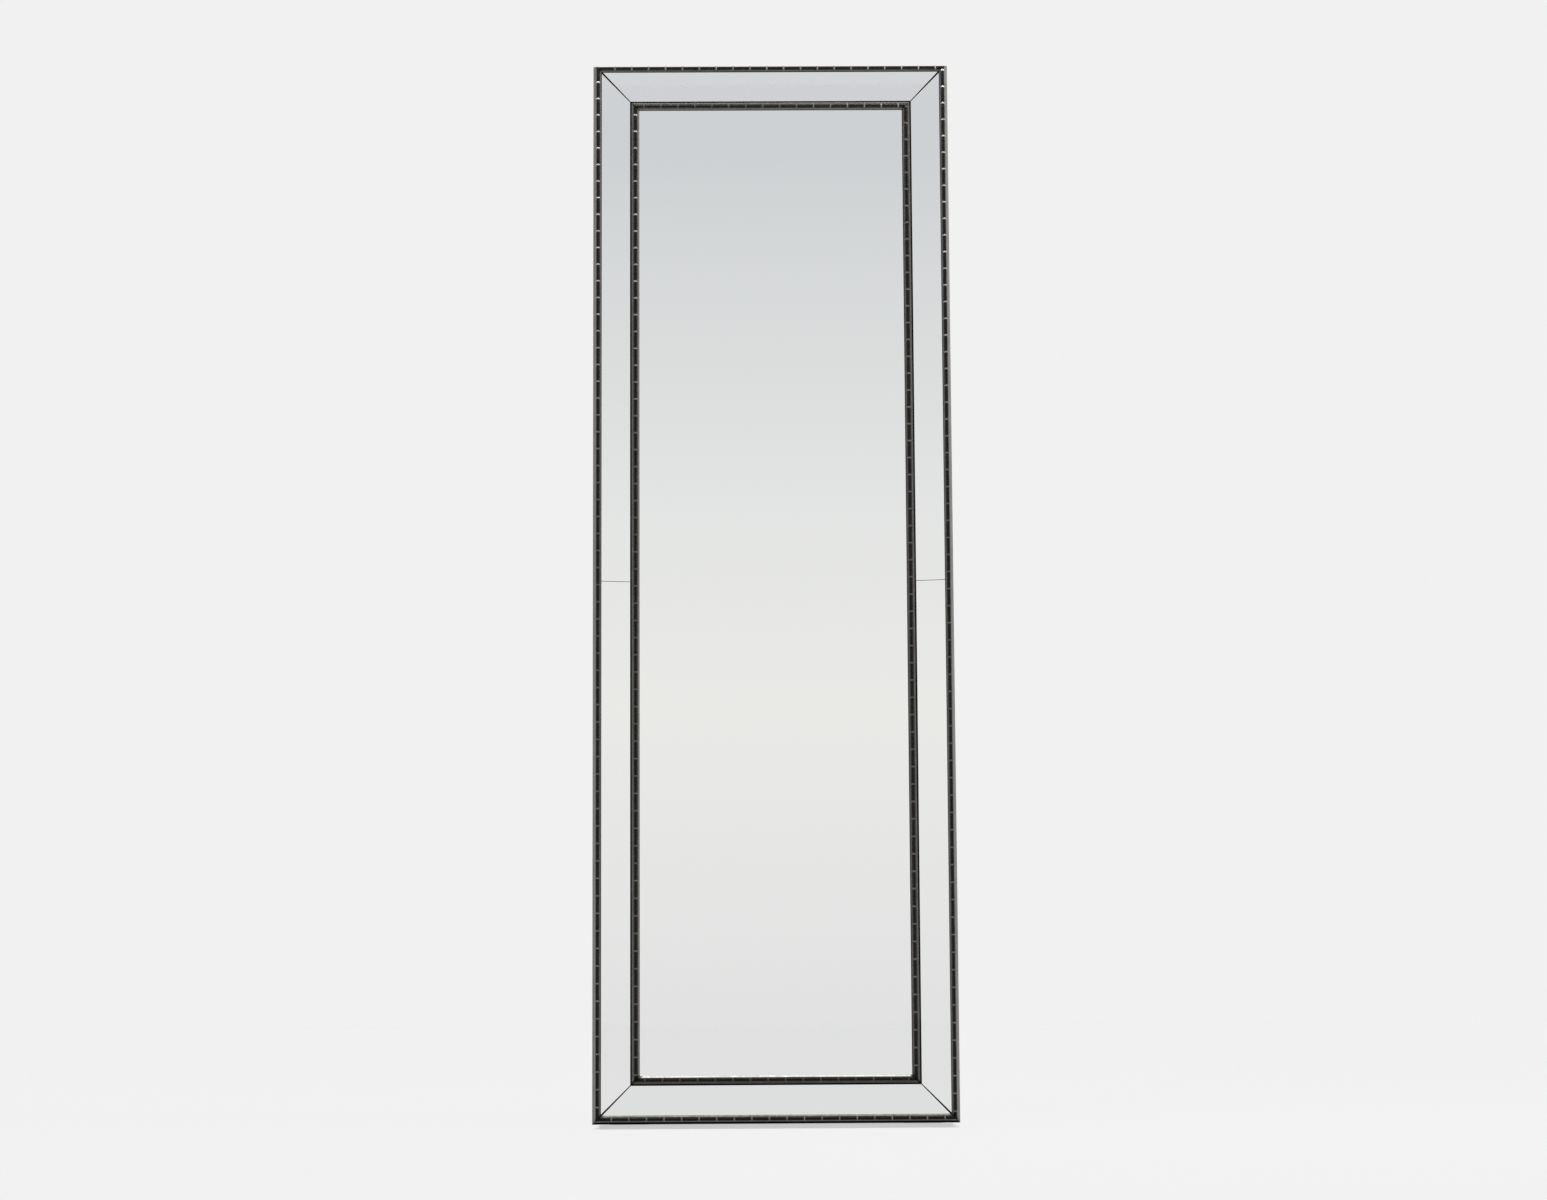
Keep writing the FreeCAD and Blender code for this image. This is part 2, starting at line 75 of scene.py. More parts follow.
def add(tree, kind, sockets=(), **settings):
    """One shader node, with its settings, and a value or another node's output for each named input."""
    node = tree.nodes.new("ShaderNode" + kind)
    for name, value in settings.items():
        setattr(node, name, value)
    for name, value in dict(sockets).items():
        feed(tree, value, node.inputs[name])
    return node


def mixed(tree, share, first, second):
    """Colour between two colours, by a share from 0 to 1."""
    node = add(tree, "Mix", data_type="RGBA")
    for index, value in ((0, share), (6, first), (7, second)):
        feed(tree, value, node.inputs[index])
    return node.outputs[2]


def ranged(tree, value, low, high, to_low, to_high):
    """A value stretched from one range to another, and held inside it."""
    return add(tree, "MapRange", {"Value": value, "From Min": low, "From Max": high,
                                  "To Min": to_low, "To Max": to_high}).outputs["Result"]


def reckoned(tree, operation, first, second):
    """The sum, product or other result of two values."""
    node = add(tree, "Math", operation=operation)
    for index, value in enumerate((first, second)):
        feed(tree, value, node.inputs[index])
    return node.outputs[0]


def group(name, takes, gives):
    """An empty shader node group with named sockets: (name, kind) pairs."""
    tree = bpy.data.node_groups.new(name, "ShaderNodeTree")
    for pairs, direction in ((takes, "INPUT"), (gives, "OUTPUT")):
        for label, kind in pairs:
            tree.interface.new_socket(label, in_out=direction, socket_type="NodeSocket" + kind)
    return tree, tree.nodes.new("NodeGroupInput").outputs, tree.nodes.new("NodeGroupOutput").inputs


def placed_group(tree, shared, sockets):
    """The outputs of a node group that is placed in a material with the material's own values."""
    node = tree.nodes.new("ShaderNodeGroup")
    node.node_tree = shared
    for name, value in sockets.items():
        feed(tree, value, node.inputs[name])
    return node.outputs


def finish_of(name, **plain):
    """A new material, its node tree, its Principled shader with plain socket values, and object coordinates."""
    made = bpy.data.materials.new(name)
    made.use_nodes = True
    tree = made.node_tree
    shader = tree.nodes["Principled BSDF"]
    for label, value in plain.items():
        shader.inputs[label.replace("_", " ")].default_value = value
    return made, tree, shader, add(tree, "TexCoord").outputs["Object"]


def relief(tree, shader, height, strength, depth, **settings):
    """Fine relief of a surface, from a height that changes over it and a depth in metres."""
    bump = add(tree, "Bump", {"Height": height, "Strength": strength, "Distance": depth}, **settings)
    tree.links.new(bump.outputs["Normal"], shader.inputs["Normal"])


def dress(material, *nodes):
    """Gives CAD nodes a finish in place of their plain colour."""
    for node in nodes:
        for slot in frame["nodes"][node].material_slots:
            slot.material = material


# Cloudy variation that every finish shares: soft noise stretched to a range, at a size set by Scale
patchy, taken, given = group("patchy", (("Vector", "Vector"), ("Scale", "Float"), ("Low", "Float"),
                                        ("High", "Float")), (("Value", "Float"), ("Height", "Float")))
cloud = add(patchy, "TexNoise", {"Vector": taken["Vector"], "Scale": taken["Scale"], "Detail": 4.0,
                                 "Roughness": 0.6}).outputs["Fac"]
patchy.links.new(ranged(patchy, cloud, 0.32, 0.68, taken["Low"], taken["High"]), given["Value"])
patchy.links.new(cloud, given["Height"])

# Grain: bands of growth rings, bent by slow noise, with fine pores drawn out along the board
grain, taken, given = group("grain", (("Vector", "Vector"), ("Stretch", "Vector"), ("Rings", "Float")),
                            (("Streak", "Float"), ("Height", "Float")))
along = add(grain, "Mapping", {"Vector": taken["Vector"], "Scale": taken["Stretch"]}).outputs["Vector"]
bands = add(grain, "TexWave", {"Vector": along, "Scale": taken["Rings"], "Distortion": 7.0, "Detail": 3.0,
                               "Detail Scale": 0.7}, bands_direction="DIAGONAL").outputs["Fac"]
pores = add(grain, "TexNoise", {"Vector": along, "Scale": 900.0, "Detail": 3.0}).outputs["Fac"]
streak = reckoned(grain, "ADD", reckoned(grain, "MULTIPLY", bands, 0.55),
                  ranged(grain, pores, 0.35, 0.7, 0.0, 0.45))
grain.links.new(streak, given["Streak"])
grain.links.new(streak, given["Height"])


def stained_timber(name, stretch):
    """Black-stained softwood whose grain is drawn out along the way where stretch is small."""
    made, tree, shader, place = finish_of(name, Specular_IOR_Level=0.35)
    figure = placed_group(tree, grain, {"Vector": place, "Stretch": stretch, "Rings": 55.0})
    dry = placed_group(tree, patchy, {"Vector": place, "Scale": 14.0, "Low": 0.5, "High": 0.68})
    tree.links.new(mixed(tree, figure["Streak"], STAINED_DARK, STAINED_LIGHT), shader.inputs["Base Color"])
    tree.links.new(dry["Value"], shader.inputs["Roughness"])
    relief(tree, shader, figure["Height"], strength=0.35, depth=0.0004)
    return made


dress(stained_timber("black_stained_upright", (1.0, 1.0, 0.05)), "frame_stile_left", "frame_stile_right")
dress(stained_timber("black_stained_across", (0.05, 1.0, 1.0)), "frame_rail_top", "frame_rail_bottom",
      "frame_rail_lower", "frame_rail_upper")

# Dowels: sixteen beech pegs glued across the rail ends, two to a joint. They lie wholly inside the timber, so
# they show only where the frame is taken apart.
beech, tree, shader, place = finish_of("beech", Roughness=0.6)
figure = placed_group(tree, grain, {"Vector": place, "Stretch": (0.1, 1.0, 1.0), "Rings": 120.0})
tree.links.new(mixed(tree, figure["Streak"], (0.52, 0.33, 0.19, 1.0), (0.68, 0.48, 0.31, 1.0)),
               shader.inputs["Base Color"])
dress(beech, "frame_dowels")

# Carrier board and border beds: medium-density fibreboard, the beds planed to the cant of the border glass
# and mitred, all sprayed matt black so that only black shows in the joints of the glass.
black_board, tree, shader, place = finish_of("matt_black_board", Specular_IOR_Level=0.2)
fibre = placed_group(tree, patchy, {"Vector": place, "Scale": 700.0, "Low": 0.0, "High": 1.0})
dull = placed_group(tree, patchy, {"Vector": place, "Scale": 30.0, "Low": 0.72, "High": 0.9})
tree.links.new(mixed(tree, fibre["Value"], (0.006, 0.006, 0.006, 1.0), (0.014, 0.013, 0.012, 1.0)),
               shader.inputs["Base Color"])
tree.links.new(dull["Value"], shader.inputs["Roughness"])
relief(tree, shader, fibre["Height"], strength=0.3, depth=0.0002)
dress(black_board, "carrier_board", "border_bed_top", "border_bed_right", "border_bed_bottom",
      "border_bed_left")

# Foam tape: strips of pale closed-cell foam, sticky on both sides, that hold every glass. One millimetre thick
# and cut short of the edges, so that none shows.
foam, tree, shader, place = finish_of("foam_tape", Roughness=0.85)
cells = add(tree, "TexVoronoi", {"Vector": place, "Scale": 1800.0})
tree.links.new(mixed(tree, cells.outputs["Distance"], (0.62, 0.62, 0.60, 1.0), (0.82, 0.82, 0.80, 1.0)),
               shader.inputs["Base Color"])
relief(tree, shader, cells.outputs["Distance"], strength=0.5, depth=0.0002)
dress(foam, "centre_glass_tape", "border_glass_tape")

# Mirror glass: clear float glass silvered on the back, one large sheet in the centre and six canted strips with
# a fine arris. The faces off the front plane show the grey-green of the glass edge instead of the silver.
silvered, tree, shader, place = finish_of("silvered_glass", Metallic=1.0)
facing = add(tree, "SeparateXYZ", {"Vector": add(tree, "TexCoord").outputs["Normal"]}).outputs["Y"]
front = ranged(tree, reckoned(tree, "ABSOLUTE", facing, 0.0), 0.9, 0.94, 0.0, 1.0)
wiped = add(tree, "Mapping", {"Vector": place, "Scale": (1.0, 1.0, 0.25)}).outputs["Vector"]
haze = placed_group(tree, patchy, {"Vector": wiped, "Scale": 9.0, "Low": 0.008, "High": 0.022})
tree.links.new(mixed(tree, front, (0.030, 0.046, 0.040, 1.0), (0.915, 0.922, 0.918, 1.0)),
               shader.inputs["Base Color"])
tree.links.new(reckoned(tree, "ADD", haze["Value"], ranged(tree, front, 0.0, 1.0, 0.22, 0.0)),
               shader.inputs["Roughness"])
dress(silvered, "centre_mirror_glass", "border_glass_top", "border_glass_bottom", "border_glass_left_upper",
      "border_glass_left_lower", "border_glass_right_upper", "border_glass_right_lower")

# Ringed rod mouldings, an outer set round the frame and a lower inner set round the centre glass. Carved wood,
# a rod with turned rings beside a lip that laps the glass, in bronze leaf under a near-black glaze that is
# rubbed back to pale metal on rings and crests. The mitres and the deep walls are filled with black filler.
# Painted light rides on the same marks: the rings' glints, the lit right flank and the up-facing lower lips are
# painted as bare metal or thin glaze, and the underside of the bottom flank is painted black as shade.
MM = 0.001
GLASS_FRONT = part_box("centre_mirror_glass")[0][1]
MIDDLE_Z = (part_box("centre_mirror_glass")[0][2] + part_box("centre_mirror_glass")[1][2]) / 2.0
# Millimetres of the section: outwards from the middle of the rod, and forwards from the front of the glass
ROD_RADIUS = 2.45
ROD_LIFT = 0.8
RING_RISE = 0.85
RING_HALF_WIDTH = 2.3
GROOVE_PLACE = 2.9
GROOVE_WIDTH = 0.5
GROOVE_DEPTH = 0.2
CHANNEL_HALF = 3.4
LIP_FALL = 2.2
BEAD = (3.4, 12.0)
FOOT = (8.3, -5.7)
OUTER_WALL = -3.9
REBATE_FLOOR = -5.0
INNER_EDGE = 6.2
JOINT_HALF_GAP = 0.06
BROAD_FILL, FINE_FILL = 3.4, 0.8
CREST_WIDTH = 0.6
CHANNEL_GLAZE = 0.62
SOLID_GLAZE = 0.985
outer_set = {"crest": 14.0, "channel": 13.3, "sight": 5.9, "pitch": 26.55, "half": (271.2, 816.95),
             "first": {"top": 0.0, "right": 0.18, "bottom": 0.61, "left": 0.69}}
inner_set = {"crest": 3.4, "channel": 2.7, "sight": 6.0, "pitch": 26.7, "half": (212.9, 758.65),
             "first": {"top": 0.51, "right": 0.08, "bottom": 0.43, "left": 0.29}}


def bulged(start, end, swell, count):
    """Points between two corners, lifted off the chord by swell times 4t(1-t)."""
    start, end = np.array(start), np.array(end)
    t = np.linspace(0.0, 1.0, count + 2)[1:-1, None]
    chord = end - start
    left = np.array((-chord[1], chord[0])) / np.hypot(*chord)
    return start + chord * t + left * swell * 4.0 * t * (1.0 - t)


def eased(corners, radii):
    """Each corner becomes (1-t)^2 before + 2t(1-t) corner + t^2 after, the two ends its radius away."""
    corners = np.array(corners)
    back = np.roll(corners, 1, 0) - corners
    ahead = np.roll(corners, -1, 0) - corners
    radii = np.array(radii)[:, None]
    before = corners + back * radii / np.linalg.norm(back, axis=1, keepdims=True)
    after = corners + ahead * radii / np.linalg.norm(ahead, axis=1, keepdims=True)
    t = np.linspace(0.0, 1.0, 4)[None, :, None]
    blend = (1 - t) ** 2 * before[:, None] + 2 * t * (1 - t) * corners[:, None] + t ** 2 * after[:, None]
    return blend.reshape(-1, 2)


def outer_outline(kind):
    """Section of the outer moulding: wall, lip over the glass, channel, bead, steep flank, leg, rebate."""
    crest, channel, sight = kind["crest"], kind["channel"], kind["sight"]
    lip = bulged((-sight, crest - LIP_FALL), (-CHANNEL_HALF, crest), 0.35, 3)
    flank = bulged(BEAD, FOOT, -0.15, 4)
    corners = [(OUTER_WALL, REBATE_FLOOR), (OUTER_WALL, 11.2), (-sight, 11.2), (-sight, crest - LIP_FALL),
               *lip, (-CHANNEL_HALF, crest), (-CHANNEL_HALF, channel), (2.5, channel), BEAD, *flank, FOOT,
               (FOOT[0], -11.0), (6.0, -11.0), (6.0, REBATE_FLOOR)]
    radii = [0.05, 0.05, 0.15, 0.2, 0.2, 0.2, 0.2, 0.22, 0.12, 0.2, 0.35, 0.5, 0.5, 0.5, 0.5, 0.5, 0.3, 0.2,
             0.05]
    return eased(corners, radii)


def inner_outline(kind):
    """Section of the inner moulding: wall, full lip, channel, falling lip, rebate over the centre glass."""
    crest, channel, sight = kind["crest"], kind["channel"], kind["sight"]
    lip = bulged((-sight, crest - LIP_FALL), (-CHANNEL_HALF, crest), 0.12, 3)
    fall = bulged((CHANNEL_HALF, crest), (INNER_EDGE, crest - 2.0), 0.25, 3)
    corners = [(-sight, 0.0), (-sight, crest - LIP_FALL), *lip, (-CHANNEL_HALF, crest),
               (-CHANNEL_HALF, channel), (CHANNEL_HALF, channel), (CHANNEL_HALF, crest), *fall,
               (INNER_EDGE, crest - 2.0), (INNER_EDGE, REBATE_FLOOR), (-2.8, REBATE_FLOOR), (-2.8, 0.0)]
    radii = [0.05, 0.2, 0.2, 0.2, 0.2, 0.22, 0.12, 0.12, 0.22, 0.2, 0.2, 0.2, 0.3, 0.05, 0.05, 0.05]
    return eased(corners, radii)


def mitre_fill(side, t, from_joint):
    """Dark fill fades as exp(-(d/reach)^2) from a mitre, broad at the two lower corners, fine above."""
    at_low_corner = {"top": False, "bottom": True, "left": t < 0.5, "right": t > 0.5}[side]
    return np.exp(-(from_joint / np.where(at_low_corner, BROAD_FILL, FINE_FILL)) ** 2)


def base_marks(kind, side, outward, height, t, from_joint):
    """Glaze fills walls and joints and thins by exp(-(d/width)^2) at each crest, with painted light by side;
    bare metal on the lower lips is a painted highlight.
    """
    outer, crest = kind is outer_set, kind["crest"]
    wall = (outward < 0.05 - kind["sight"]) & (height < crest - LIP_FALL - 0.1)
    channel = (np.abs(outward) < CHANNEL_HALF - 0.02) & (height < crest - 0.1) & (height > crest - 1.2)
    sight_lip = outward < 0.02 - CHANNEL_HALF
    down_lip = np.clip((crest - height) / LIP_FALL, 0.0, 1.0)
    if outer:
        # The right flank and the head of the left one are bare but for a line by the bead, a painted highlight
        # where light falls on them; others filmed
        plain = {"right": 1.0, "left": np.clip(6.0 * t - 5.0, 0.0, 1.0)}.get(side, 0.0)
        bead_line = 0.6 * np.exp(-((outward - 4.4) / 0.6) ** 2)
        filmed = 0.15 + 0.4 * np.exp(-((outward - 5.4) / 0.7) ** 2)
        film = np.where(sight_lip, 0.3 + 0.65 * down_lip, plain * bead_line + (1.0 - plain) * filmed)
        crests = (-CHANNEL_HALF, crest, 0.1), (*BEAD, 0.5 * plain)
    else:
        # The inner sight lip is filmed thinner on the left trim than on the right, and the rest thinner on the
        # top trim than the others: painted light by side.
        lip_film_and_light = {"left": 0.12 + 0.1 * down_lip, "right": 0.4 + 0.55 * down_lip}.get(side, 0.3)
        film = np.where(sight_lip, lip_film_and_light, 0.3 if side == "top" else 0.45)
        glazed_wall = (height < crest - LIP_FALL) & ((outward <= 0.0) | (side != "top"))
        film = np.where(glazed_wall, 1.0, film)
        crests = (-CHANNEL_HALF, crest, 0.05), (CHANNEL_HALF, crest, 0.2)
    # On the bottom trims the lower lips are left light and the rest darkened, and the outer flank is painted
    # solid black: painted shade from the floor below.
    if side == "bottom":
        film = np.where(sight_lip, 0.2, np.maximum(film, CHANNEL_GLAZE))
        film = np.where(outer & (outward > 4.3), 1.0, film)
    for across, up, least in crests:
        bell = np.exp(-((outward - across) ** 2 + (height - up) ** 2) / CREST_WIDTH ** 2)
        film = film + (np.minimum(least, film) - film) * bell
    joint = mitre_fill(side, t, from_joint)
    glaze = np.maximum(np.where(wall, 1.0, np.where(channel, CHANNEL_GLAZE, film)), joint)
    # The upward lower lips of the bottom trims are made bare metal as a painted highlight.
    painted_lip_highlight = (0.36 if outer else 0.6) if side == "bottom" else 0.0
    rub = np.where(sight_lip & ~wall, painted_lip_highlight, 0.0) * (1.0 - joint)
    return rub, glaze


def ring_wear_and_glint(kind, side, share):
    """How bare the rings are, their glints painted in as bare metal that fades down the uprights: straight runs
    between values at shares of the way up or to the right.
    """
    outer = kind is outer_set
    if side == "top":
        return np.interp(share, (0.0, 0.4, 1.0), (0.28, 0.30, 0.40) if outer else (0.10, 0.14, 0.42))
    if side == "bottom":
        return np.full_like(share, 0.30 if outer else 0.06)
    wear_and_glint = np.interp(share, (0.0, 0.2, 0.35, 0.55, 0.65, 0.75, 0.85, 0.95, 1.0),
                     (0.30, 0.26, 0.17, 0.14, 0.30, 0.42, 0.54, 0.52, 0.70))
    if outer:
        return wear_and_glint
    return np.minimum(wear_and_glint, 0.28) if side == "right" else 0.85 * wear_and_glint


def grid_faces(rows, columns):
    """Quads of a grid that closes on itself across, and one face over each end."""
    here = np.arange(rows * columns).reshape(rows, columns)
    side = np.roll(here, -1, 1)
    quads = np.stack((here[:-1], here[1:], side[1:], side[:-1]), -1).reshape(-1, 4)
    return quads.tolist() + [here[0].tolist(), here[-1][::-1].tolist()]


def swept_base(kind, side, outline, length):
    """x runs from -outward to length + outward, so both ends lie in the diagonal planes of the corners."""
    # Sections stand closer towards the mitres, where the filler fades
    near = np.array((0.0, 0.7, 1.4, 2.4, 3.6, 5.2, 8.0)) / length
    t = np.concatenate((near, np.linspace(0.02, 0.98, 49), 1.0 - near[::-1]))[:, None]
    outward = outline[None, :, 0] + 0.0 * t
    height = outline[None, :, 1] + 0.0 * t
    x = JOINT_HALF_GAP - outward + t * (length + 2.0 * (outward - JOINT_HALF_GAP))
    rub, glaze = base_marks(kind, side, outward, height, t, np.minimum(t, 1.0 - t) * length)
    return x, outward, height, rub, glaze


def swept_rod(kind, side, length):
    """The radius is the rod's, plus a raised cosine at each ring, less a shallow groove each side of it."""
    pitch = kind["pitch"]
    rings = np.arange(kind["first"][side] * pitch - pitch, length + pitch, pitch)
    # Circles stand closer on the rings and grooves, and are drawn where the rod is clear of the channel
    steps = np.array((-9.0, -3.6, -2.9, -2.3, -1.6, -0.8, 0.0, 0.8, 1.6, 2.3, 2.9, 3.6, 9.0))
    stations = (rings[:, None] + steps[None, :]).ravel()[:, None]
    angle = np.radians(np.linspace(-22.0, 202.0, 15))[None, :]

    def radius(x):
        off = np.abs((x - rings[0] + pitch / 2.0) % pitch - pitch / 2.0)
        inside = np.minimum(off, RING_HALF_WIDTH) / RING_HALF_WIDTH
        ring = np.cos(np.pi * inside / 2.0) ** 2
        groove = np.exp(-((off - GROOVE_PLACE) / GROOVE_WIDTH) ** 2)
        return ROD_RADIUS + RING_RISE * ring - GROOVE_DEPTH * groove, ring, groove

    # Points past an end slide until they lie in the diagonal plane of the corner
    x = stations + 0.0 * angle
    for _ in range(24):
        outward = radius(x)[0] * np.cos(angle)
        x = 0.5 * (x + np.clip(stations, JOINT_HALF_GAP - outward, length + outward - JOINT_HALF_GAP))
    reach, ring, groove = radius(x)
    outward = reach * np.cos(angle)
    height = kind["channel"] + ROD_LIFT + reach * np.sin(angle)
    joint = mitre_fill(side, x / length, np.minimum(x + outward, length + outward - x))
    # Ring bareness carries a painted glint, brightest near the top of the uprights; the glaze thins on the
    # rings with it, most on the top outer rail.
    wear_and_glint = ring_wear_and_glint(kind, side, 1.0 - x / length if side in ("right", "bottom") else x / length)
    rub = np.clip(1.5 * ring ** 2, 0.0, 1.0) * wear_and_glint * (1.0 - joint)
    thinned_and_glint = 0.26 + 0.9 * wear_and_glint + (0.3 if side == "top" and kind is outer_set else 0.0)
    # The glaze thins at the rod's two sides as a painted sheen and deepens in the grooves beside the rings as
    # partly painted shade.
    glaze = 0.93 + 0.07 * groove - 0.4 * np.abs(np.cos(angle)) ** 6 - ring * thinned_and_glint + joint
    return x, outward, height, rub, np.clip(glaze, 0.0, 1.0)


def on_side(side, half, x, outward, height):
    """Places moulding coordinates on a side of its rectangle, running clockwise, in metres."""
    ways = {"top": (-half[0] + x, half[1] + outward), "right": (half[0] + outward, half[1] - x),
            "bottom": (half[0] - x, -half[1] - outward), "left": (-half[0] - outward, -half[1] + x)}
    across, up = ways[side]
    return np.stack((across * MM, GLASS_FRONT - height * MM, MIDDLE_Z + up * MM), -1).reshape(-1, 3)


def mesh_piece(name, points, faces, **marks):
    """A smooth-shaded mesh object at the origin, creased at sharp edges, with its named point values."""
    mesh = bpy.data.meshes.new(name)
    mesh.from_pydata(points, [], faces)
    for label, values in marks.items():
        mesh.attributes.new(label, "FLOAT", "POINT").data.foreach_set("value", values.astype(np.float32))
    mesh.validate()
    mesh.shade_smooth()
    mesh.set_sharp_from_angle(angle=math.radians(35.0))
    piece = bpy.data.objects.new(name, mesh)
    bpy.context.collection.objects.link(piece)
    return piece


def leaf_and_filler(mesh, glaze):
    """Bronze all over, and black on each face that is nearly wholly coated: the black of mitres and walls, and
    painted shade on the bottom flank.
    """
    first_corner = np.empty(len(mesh.polygons), np.int32)
    mesh.polygons.foreach_get("loop_start", first_corner)
    at_corner = np.empty(len(mesh.loops), np.int32)
    mesh.loops.foreach_get("vertex_index", at_corner)
    least_glaze = np.minimum.reduceat(glaze[at_corner], first_corner)
    mesh.materials.append(bronze)
    mesh.materials.append(filler_and_shade)
    mesh.polygons.foreach_set("material_index", (least_glaze > SOLID_GLAZE).astype(np.int32))


def trim(set_name, kind, outline, side):
    """One side of a moulding, its carved base and its rod as two closed shells in one piece."""
    length = 2.0 * (kind["half"][0] if side in ("top", "bottom") else kind["half"][1])
    points, faces, rubs_and_glints, glazes_and_painted_light = [], [], [], []
    for x, outward, height, rub, glaze in (swept_base(kind, side, outline, length),
                                            swept_rod(kind, side, length)):
        start = sum(len(part) for part in points)
        points.append(on_side(side, kind["half"], x, outward, height))
        faces += [[start + corner for corner in face] for face in grid_faces(*x.shape)]
        rubs_and_glints.append(rub.ravel())
        glazes_and_painted_light.append(glaze.ravel())
    piece = mesh_piece(f"{set_name}_trim_{side}", np.concatenate(points).tolist(), faces,
                       rub=np.concatenate(rubs_and_glints), glaze=np.concatenate(glazes_and_painted_light))
    leaf_and_filler(piece.data, np.concatenate(glazes_and_painted_light))
    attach(piece, "mirror")
    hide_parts(f"{set_name}_moulding_{side}")


bronze, tree, shader, place = finish_of("glazed_bronze_leaf", Specular_IOR_Level=0.11)
# The rub and glaze attributes carry painted glints, highlights, sheen and shade as well as real wear and glaze.
rub = add(tree, "Attribute", attribute_name="rub").outputs["Fac"]
glaze = add(tree, "Attribute", attribute_name="glaze").outputs["Fac"]
fine = placed_group(tree, patchy, {"Vector": place, "Scale": 850.0, "Low": -0.15, "High": 0.15})
broad = placed_group(tree, patchy, {"Vector": place, "Scale": 55.0, "Low": 0.0, "High": 1.0})
wear_and_glint = placed_group(tree, patchy, {"Vector": place, "Scale": 260.0, "Low": -0.08, "High": 0.08})
leaf = mixed(tree, broad["Value"], (0.160, 0.160, 0.152, 1.0), (0.205, 0.203, 0.192, 1.0))
dark = mixed(tree, broad["Value"], (0.0035, 0.0032, 0.0028, 1.0), (0.0085, 0.0060, 0.0048, 1.0))
cover = ranged(tree, reckoned(tree, "ADD", glaze, fine["Value"]), 0.05, 0.9, 0.0, 1.0)
bare = ranged(tree, reckoned(tree, "ADD", rub, wear_and_glint["Value"]), 0.25, 0.75, 0.0, 1.0)
tree.links.new(mixed(tree, bare, mixed(tree, cover, leaf, dark), (0.80, 0.77, 0.70, 1.0)),
               shader.inputs["Base Color"])
tree.links.new(bare, shader.inputs["Metallic"])
smooth = reckoned(tree, "ADD", reckoned(tree, "MAXIMUM", bare, cover), fine["Value"])
tree.links.new(ranged(tree, smooth, -0.15, 1.15, 0.55, 0.26), shader.inputs["Roughness"])
relief(tree, shader, fine["Height"], strength=0.10, depth=0.0003)

# Black for the filled mitres and walls, and as painted shade on the underside of the bottom flank.
filler_and_shade, tree, shader, place = finish_of("black_filler", Specular_IOR_Level=0.0)
lump = placed_group(tree, patchy, {"Vector": place, "Scale": 400.0, "Low": 0.6, "High": 0.9})
tree.links.new(mixed(tree, lump["Value"], (0.0030, 0.0028, 0.0026, 1.0), (0.0075, 0.0070, 0.0066, 1.0)),
               shader.inputs["Base Color"])
tree.links.new(lump["Value"], shader.inputs["Roughness"])

for side in ("top", "right", "bottom", "left"):
    trim("outer", outer_set, outer_outline(outer_set), side)
    trim("inner", inner_set, inner_outline(inner_set), side)

# Board screws: eighteen countersunk steel screws under the border, hidden once the beds are glued down.
# Hanger screws: pan heads with cross slots. Both are bright zinc plate with a faint blue cast.
zinc, tree, shader, place = finish_of("zinc_plate", Metallic=1.0)
bloom = placed_group(tree, patchy, {"Vector": place, "Scale": 420.0, "Low": 0.0, "High": 1.0})
rough = placed_group(tree, patchy, {"Vector": place, "Scale": 900.0, "Low": 0.24, "High": 0.42})
tree.links.new(mixed(tree, bloom["Value"], (0.52, 0.54, 0.57, 1.0), (0.68, 0.68, 0.66, 1.0)),
               shader.inputs["Base Color"])
tree.links.new(rough["Value"], shader.inputs["Roughness"])
dress(zinc, "carrier_board_screws", "hanger_screws_left", "hanger_screws_right")

# Back panel: three-millimetre hardboard let in flush with the timber, screen side out, so its back has the
# fine square weave of the press wire. Held by twenty small black screws.
hardboard, tree, shader, place = finish_of("hardboard", Specular_IOR_Level=0.25)
weave = [add(tree, "TexWave", {"Vector": place, "Scale": 230.0, "Distortion": 0.4, "Detail Scale": 40.0},
             bands_direction=way).outputs["Fac"] for way in ("X", "Z")]
screen = reckoned(tree, "MULTIPLY", weave[0], weave[1])
fleck = placed_group(tree, patchy, {"Vector": place, "Scale": 520.0, "Low": 0.0, "High": 1.0})
stain = placed_group(tree, patchy, {"Vector": place, "Scale": 7.0, "Low": 0.0, "High": 1.0})
brown = mixed(tree, stain["Value"], (0.162, 0.091, 0.048, 1.0), (0.192, 0.110, 0.059, 1.0))
pressed = mixed(tree, ranged(tree, screen, 0.0, 1.0, 0.0, 0.45), brown, (0.075, 0.040, 0.020, 1.0))
tree.links.new(mixed(tree, reckoned(tree, "MULTIPLY", fleck["Value"], 0.35), pressed,
                     (0.30, 0.19, 0.11, 1.0)), shader.inputs["Base Color"])
dull = placed_group(tree, patchy, {"Vector": place, "Scale": 300.0, "Low": 0.68, "High": 0.86})
tree.links.new(dull["Value"], shader.inputs["Roughness"])
relief(tree, shader, screen, strength=0.5, depth=0.00025, invert=True)
dress(hardboard, "back_panel")

blackened, tree, shader, place = finish_of("black_screw", Metallic=1.0)
rough = placed_group(tree, patchy, {"Vector": place, "Scale": 700.0, "Low": 0.3, "High": 0.5})
tone = placed_group(tree, patchy, {"Vector": place, "Scale": 300.0, "Low": 0.0, "High": 1.0})
tree.links.new(mixed(tree, tone["Value"], (0.022, 0.022, 0.024, 1.0), (0.055, 0.053, 0.052, 1.0)),
               shader.inputs["Base Color"])
tree.links.new(rough["Value"], shader.inputs["Roughness"])
dress(blackened, "back_panel_screws")

